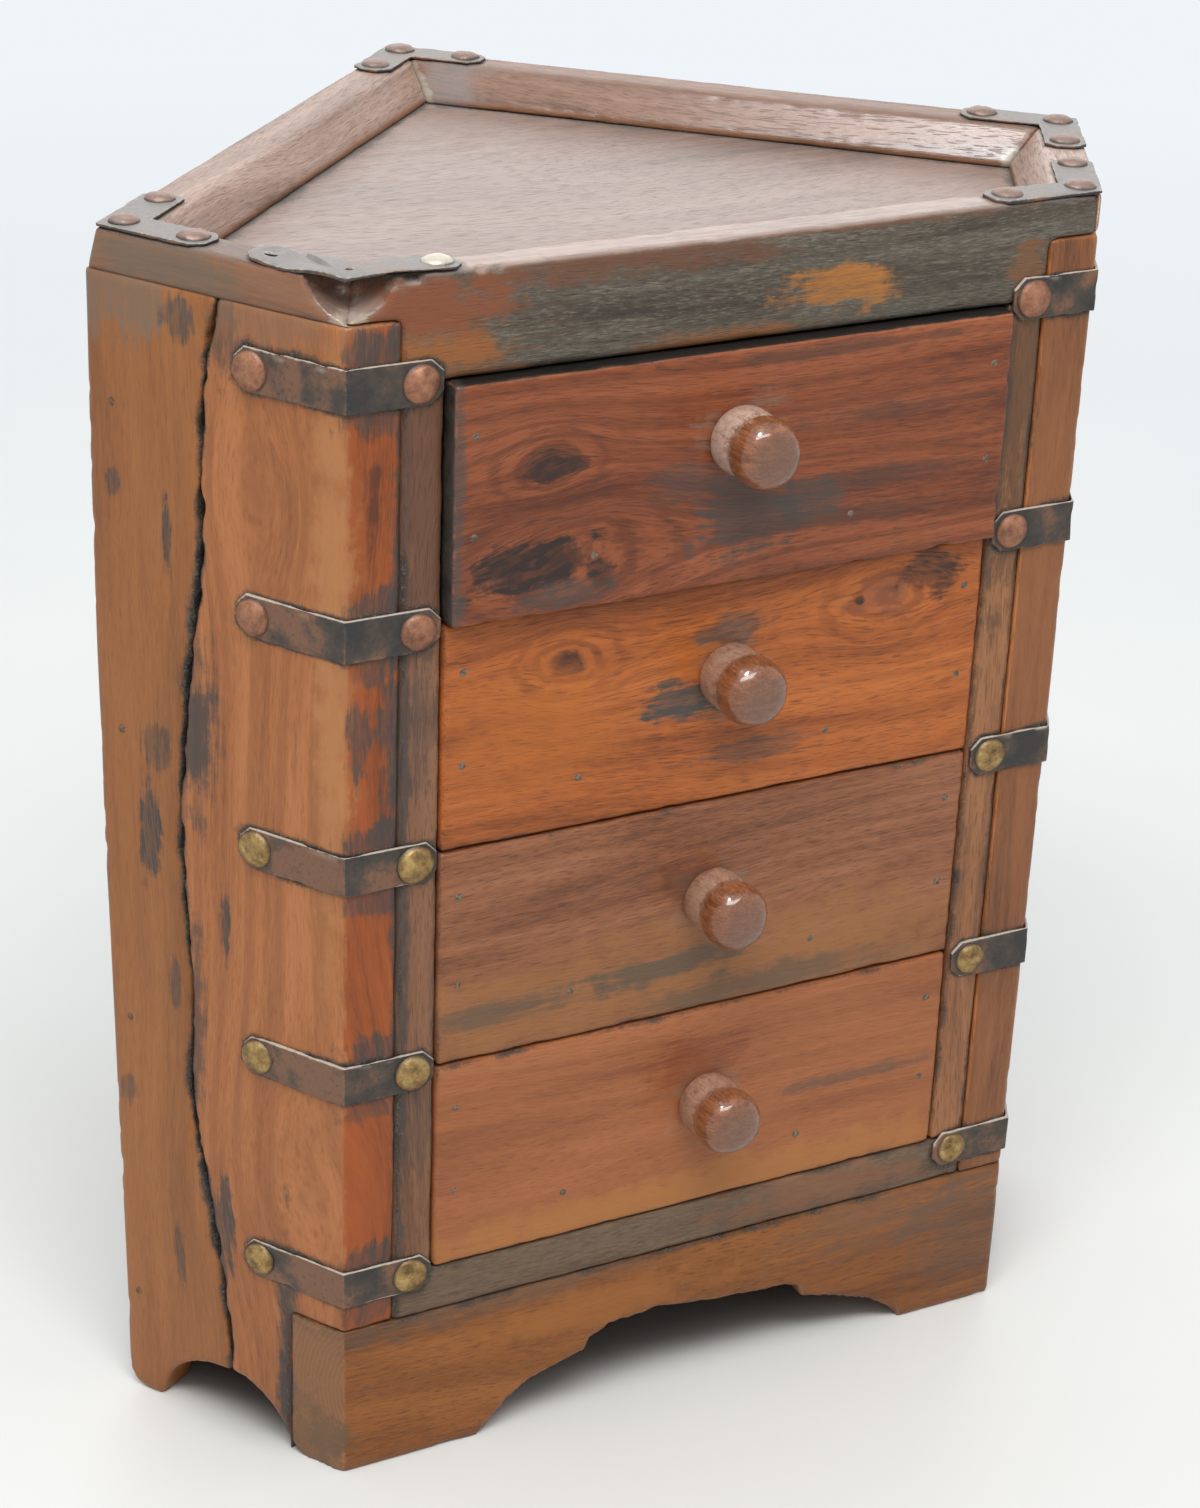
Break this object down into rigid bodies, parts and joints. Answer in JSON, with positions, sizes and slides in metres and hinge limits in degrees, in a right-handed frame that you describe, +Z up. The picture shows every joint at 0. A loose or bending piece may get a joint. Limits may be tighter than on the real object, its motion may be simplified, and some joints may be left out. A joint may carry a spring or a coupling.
{
  "type": "corner chest of drawers",
  "caption": "Wooden corner chest with a pentagonal plan, stacked drawers with turned knobs, a bevelled tray top, iron corner straps with domed tacks, and arched feet.",
  "frame": {"origin": "on the floor at the middle of the overall box, knobs included", "axes": "+Z up, the drawers face -Y, +X to the right of a person who faces the drawers"},
  "size_m": [0.3014, 0.244, 0.3586],
  "materials": {
    "case_wood": "worn wax over reddish hardwood",
    "tray_wood": "dusty worn wax over reddish hardwood",
    "drawer_front_wood": "satin wax over figured reddish hardwood",
    "inner_wood": "bare sawn wood",
    "knob_wood": "handled polish over turned hardwood",
    "strap_iron": "blackened and rusty strip",
    "tack_brass": "tarnished domes",
    "nail_iron": "dull iron"
  },
  "bodies": {
    "case": {"back_left_board": "case_wood", "back_right_board": "case_wood", "bottom_shelf": "inner_wood", "case_nails": "nail_iron", "front_apron": "case_wood", "front_bottom_rail": "case_wood", "front_top_rail": "case_wood", "left_drawer_guides": "inner_wood", "left_edge_straps": "strap_iron", "left_edge_tacks": "tack_brass", "left_front_side_board": "case_wood", "left_rear_side_board": "case_wood", "left_stile": "case_wood", "lower_shelf": "inner_wood", "middle_shelf": "inner_wood", "right_drawer_guides": "inner_wood", "right_edge_straps": "strap_iron", "right_edge_tacks": "tack_brass", "right_side_board": "case_wood", "right_stile": "case_wood", "rim_back_left": "tray_wood", "rim_back_right": "tray_wood", "rim_left": "tray_wood", "rim_right": "tray_wood", "strap_apex": "strap_iron", "strap_front_left": "strap_iron", "strap_front_right": "strap_iron", "strap_rear_left": "strap_iron", "strap_rear_right": "strap_iron", "top_panel": "tray_wood", "top_strap_tacks": "tack_brass", "upper_shelf": "inner_wood"},
    "drawer_1": {"drawer_1_back": "inner_wood", "drawer_1_bottom": "inner_wood", "drawer_1_front": "drawer_front_wood", "drawer_1_knob": "knob_wood", "drawer_1_left_side": "inner_wood", "drawer_1_nails": "nail_iron", "drawer_1_right_side": "inner_wood"},
    "drawer_2": {"drawer_2_back": "inner_wood", "drawer_2_bottom": "inner_wood", "drawer_2_front": "drawer_front_wood", "drawer_2_knob": "knob_wood", "drawer_2_left_side": "inner_wood", "drawer_2_nails": "nail_iron", "drawer_2_right_side": "inner_wood"},
    "drawer_3": {"drawer_3_back": "inner_wood", "drawer_3_bottom": "inner_wood", "drawer_3_front": "drawer_front_wood", "drawer_3_knob": "knob_wood", "drawer_3_left_side": "inner_wood", "drawer_3_nails": "nail_iron", "drawer_3_right_side": "inner_wood"},
    "drawer_4": {"drawer_4_back": "inner_wood", "drawer_4_bottom": "inner_wood", "drawer_4_front": "drawer_front_wood", "drawer_4_knob": "knob_wood", "drawer_4_left_side": "inner_wood", "drawer_4_nails": "nail_iron", "drawer_4_right_side": "inner_wood"}
  },
  "joints": [
    {"name": "drawer_1_slide", "type": "slide", "parent": "case", "child": "drawer_1", "axis": [0, -1, 0], "range_m": [-0.0045, 0.0855]},
    {"name": "drawer_2_slide", "type": "slide", "parent": "case", "child": "drawer_2", "axis": [0, -1, 0], "range_m": [0, 0.09]},
    {"name": "drawer_3_slide", "type": "slide", "parent": "case", "child": "drawer_3", "axis": [0, -1, 0], "range_m": [0, 0.09]},
    {"name": "drawer_4_slide", "type": "slide", "parent": "case", "child": "drawer_4", "axis": [0, -1, 0], "range_m": [0, 0.09]}
  ]
}
